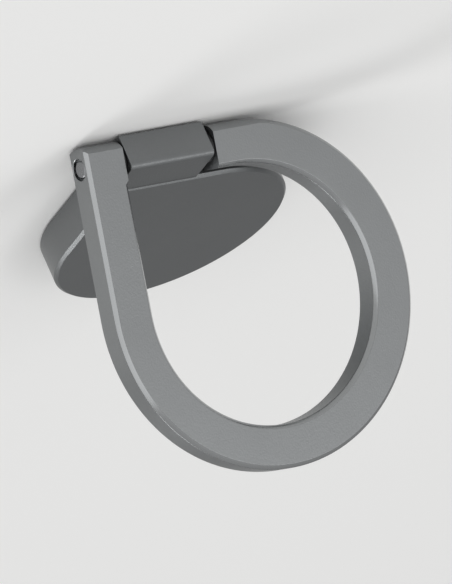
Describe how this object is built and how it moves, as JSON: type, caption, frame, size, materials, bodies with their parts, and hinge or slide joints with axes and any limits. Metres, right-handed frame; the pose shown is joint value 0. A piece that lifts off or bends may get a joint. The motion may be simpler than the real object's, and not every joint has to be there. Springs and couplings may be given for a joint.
{
  "type": "phone ring holder",
  "caption": "Teardrop finger ring on a friction hinge, carried by a low swivelling base with an adhesive pad; holds a phone in the hand or props it up.",
  "frame": {"origin": "on the sticky face of the adhesive pad, on the swivel axis, which is the centre of the round part of the base and of the folded loop", "axes": "+X along the hinge pin, away from the loop's square corner; +Y from the swivel axis towards the hinge; +Z out of the surface that the pad sticks to"},
  "size_m": [0.0308, 0.0263, 0.0289],
  "materials": {
    "loop_metal": "bead-blasted and anodised, satin grey, with bright cut bevels",
    "base_metal": "bead-blasted and anodised, satin grey",
    "pin_steel": "ground steel",
    "spring_steel": "hardened spring strip",
    "foot_steel": "plain stamped steel",
    "washer_plastic": "matt black",
    "glide_plastic": "natural white",
    "pad_foam": "dark grey foam tape with a tacky face"
  },
  "bodies": {
    "foot": {"foot_disc": "foot_steel", "adhesive_pad": "pad_foam"},
    "base": {"base_body": "base_metal", "friction_sleeve": "spring_steel", "left_hinge_washer": "washer_plastic", "right_hinge_washer": "washer_plastic", "swivel_rivet": "pin_steel", "swivel_spring": "spring_steel", "swivel_glide": "glide_plastic"},
    "loop": {"finger_loop": "loop_metal", "hinge_pin": "pin_steel"}
  },
  "joints": [
    {"name": "base_swivel", "type": "hinge", "parent": "foot", "child": "base", "pos_m": [0, 0, 0], "axis": [0, 0, 1], "continuous": true},
    {"name": "loop_hinge", "type": "hinge", "parent": "base", "child": "loop", "pos_m": [0, 0.0135, 0.0021], "axis": [-1, 0, 0], "range_deg": [-66, 114]}
  ]
}
